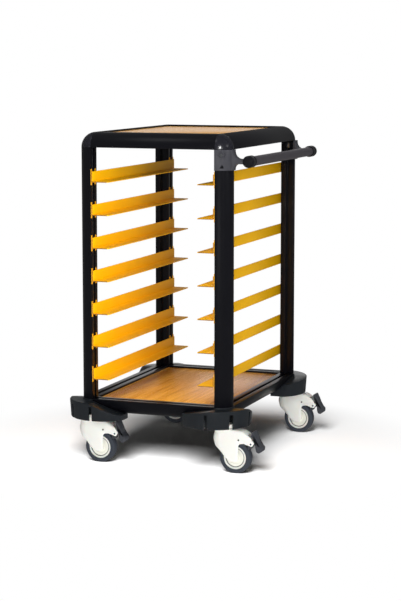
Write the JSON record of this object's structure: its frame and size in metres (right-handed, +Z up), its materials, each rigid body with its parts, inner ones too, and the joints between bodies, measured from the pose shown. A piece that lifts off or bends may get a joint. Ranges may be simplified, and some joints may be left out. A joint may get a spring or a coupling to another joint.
{
  "type": "tray return trolley",
  "caption": "Open tray return trolley: slotted black frame, amber tray rails, laminate top and shelf, side push handle, corner bumpers and braked swivel casters.",
  "frame": {"origin": "on the floor, below the centre of the four posts", "axes": "+X across the open front towards the push handle's side, +Y from the front to the back, +Z up"},
  "size_m": [0.6604, 0.8064, 1.048],
  "materials": {
    "black_extrusion": "black powder coat, semi-gloss",
    "black_corner": "moulded, glossy",
    "bumper_plastic": "moulded, fine texture",
    "laminate": "glossy wood laminate",
    "amber_rail": "amber powder coat",
    "amber_clip": "amber powder coat",
    "grip_grey": "grey coated tube",
    "cap_black": "moulded, satin",
    "bracket_plastic": "moulded, fine texture",
    "zinc_steel": "zinc plated",
    "white_nylon": "moulded, satin",
    "white_hub": "moulded, satin",
    "grey_tyre": "matt slate rubber",
    "pedal_plastic": "moulded, satin"
  },
  "bodies": {
    "frame": {"post_front_left": "black_extrusion", "post_front_right": "black_extrusion", "post_rear_left": "black_extrusion", "post_rear_right": "black_extrusion", "top_beam_front": "black_extrusion", "top_beam_rear": "black_extrusion", "top_beam_left": "black_extrusion", "top_beam_right": "black_extrusion", "bottom_beam_front": "black_extrusion", "bottom_beam_rear": "black_extrusion", "bottom_beam_left": "black_extrusion", "bottom_beam_right": "black_extrusion", "top_corner_front_left": "black_corner", "top_corner_front_right": "black_corner", "top_corner_rear_left": "black_corner", "top_corner_rear_right": "black_corner", "corner_bumper_front_left": "bumper_plastic", "corner_bumper_front_right": "bumper_plastic", "corner_bumper_rear_left": "bumper_plastic", "corner_bumper_rear_right": "bumper_plastic", "top_panel": "laminate", "shelf_panel": "laminate", "tray_rails_1": "amber_rail", "tray_rails_2": "amber_rail", "tray_rails_3": "amber_rail", "tray_rails_4": "amber_rail", "tray_rails_5": "amber_rail", "tray_rails_6": "amber_rail", "tray_rails_7": "amber_rail", "rail_clips": "amber_clip", "grip_tube": "grip_grey", "grip_cap_front": "cap_black", "grip_cap_rear": "cap_black", "handle_bracket_front": "bracket_plastic", "handle_bracket_rear": "bracket_plastic", "bracket_bolts": "zinc_steel", "caster_stems": "zinc_steel", "swivel_bearings": "zinc_steel"},
    "swivel_front_left": {"caster_fork_front_left": "white_nylon", "caster_axle_front_left": "zinc_steel"},
    "wheel_front_left": {"wheel_hub_front_left": "white_hub", "wheel_tyre_front_left": "grey_tyre"},
    "pedal_front_left": {"brake_pedal_front_left": "pedal_plastic"},
    "swivel_front_right": {"caster_fork_front_right": "white_nylon", "caster_axle_front_right": "zinc_steel"},
    "wheel_front_right": {"wheel_hub_front_right": "white_hub", "wheel_tyre_front_right": "grey_tyre"},
    "pedal_front_right": {"brake_pedal_front_right": "pedal_plastic"},
    "swivel_rear_left": {"caster_fork_rear_left": "white_nylon", "caster_axle_rear_left": "zinc_steel"},
    "wheel_rear_left": {"wheel_hub_rear_left": "white_hub", "wheel_tyre_rear_left": "grey_tyre"},
    "pedal_rear_left": {"brake_pedal_rear_left": "pedal_plastic"},
    "swivel_rear_right": {"caster_fork_rear_right": "white_nylon", "caster_axle_rear_right": "zinc_steel"},
    "wheel_rear_right": {"wheel_hub_rear_right": "white_hub", "wheel_tyre_rear_right": "grey_tyre"},
    "pedal_rear_right": {"brake_pedal_rear_right": "pedal_plastic"}
  },
  "joints": [
    {"name": "swivel_front_left", "type": "hinge", "parent": "frame", "child": "swivel_front_left", "pos_m": [-0.2275, -0.3285, 0.14], "axis": [0, 0, 1], "continuous": true},
    {"name": "roll_front_left", "type": "hinge", "parent": "swivel_front_left", "child": "wheel_front_left", "pos_m": [-0.1855, -0.3285, 0.05], "axis": [0, 1, 0], "continuous": true},
    {"name": "brake_front_left", "type": "hinge", "parent": "swivel_front_left", "child": "pedal_front_left", "pos_m": [-0.1305, -0.3285, 0.0975], "axis": [0, 1, 0], "range_deg": [0, 20]},
    {"name": "swivel_front_right", "type": "hinge", "parent": "frame", "child": "swivel_front_right", "pos_m": [0.2275, -0.3285, 0.14], "axis": [0, 0, 1], "continuous": true},
    {"name": "roll_front_right", "type": "hinge", "parent": "swivel_front_right", "child": "wheel_front_right", "pos_m": [0.2695, -0.3285, 0.05], "axis": [0, 1, 0], "continuous": true},
    {"name": "brake_front_right", "type": "hinge", "parent": "swivel_front_right", "child": "pedal_front_right", "pos_m": [0.3245, -0.3285, 0.0975], "axis": [0, 1, 0], "range_deg": [0, 20]},
    {"name": "swivel_rear_left", "type": "hinge", "parent": "frame", "child": "swivel_rear_left", "pos_m": [-0.2275, 0.3285, 0.14], "axis": [0, 0, 1], "continuous": true},
    {"name": "roll_rear_left", "type": "hinge", "parent": "swivel_rear_left", "child": "wheel_rear_left", "pos_m": [-0.1855, 0.3285, 0.05], "axis": [0, 1, 0], "continuous": true},
    {"name": "brake_rear_left", "type": "hinge", "parent": "swivel_rear_left", "child": "pedal_rear_left", "pos_m": [-0.1305, 0.3285, 0.0975], "axis": [0, 1, 0], "range_deg": [0, 20]},
    {"name": "swivel_rear_right", "type": "hinge", "parent": "frame", "child": "swivel_rear_right", "pos_m": [0.2275, 0.3285, 0.14], "axis": [0, 0, 1], "continuous": true},
    {"name": "roll_rear_right", "type": "hinge", "parent": "swivel_rear_right", "child": "wheel_rear_right", "pos_m": [0.2695, 0.3285, 0.05], "axis": [0, 1, 0], "continuous": true},
    {"name": "brake_rear_right", "type": "hinge", "parent": "swivel_rear_right", "child": "pedal_rear_right", "pos_m": [0.3245, 0.3285, 0.0975], "axis": [0, 1, 0], "range_deg": [0, 20]}
  ]
}
